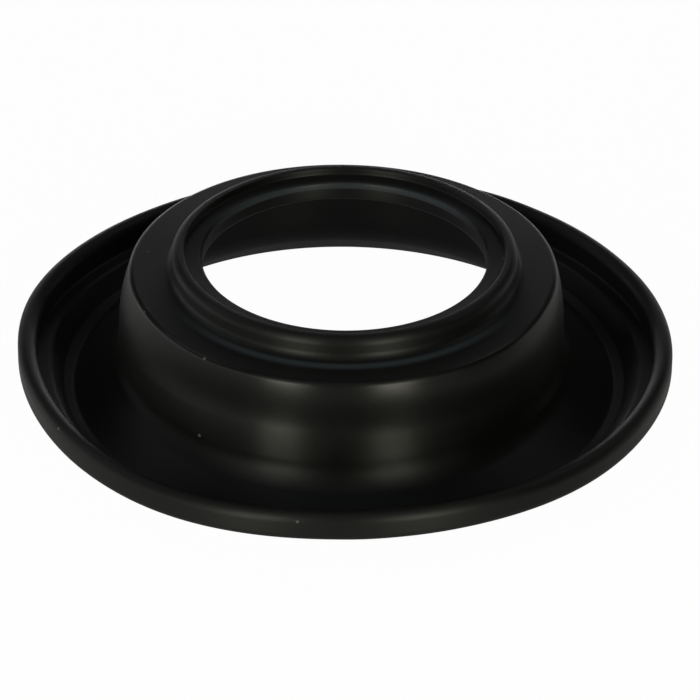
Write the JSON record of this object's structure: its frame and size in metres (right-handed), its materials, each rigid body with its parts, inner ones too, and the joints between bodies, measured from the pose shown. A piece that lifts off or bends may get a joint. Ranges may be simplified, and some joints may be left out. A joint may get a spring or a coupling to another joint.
{
  "type": "carburettor diaphragm",
  "caption": "Round moulded rubber diaphragm with a beaded rim, a flange that steps down to a channel, and a raised hub with a beaded centre hole.",
  "frame": {"origin": "on the turning axis, in the plane of the lowest ring of the underside, which the moulding rests on", "axes": "+Z along the turning axis, from the flange towards the hub; X and Y are any two directions across it, because the part is turned"},
  "size_m": [0.075, 0.075, 0.0184],
  "materials": {
    "black_rubber": "moulded black rubber, satin on the wall and the beads, dull on the flange"
  },
  "bodies": {
    "root": {"diaphragm": "black_rubber"}
  },
  "joints": []
}
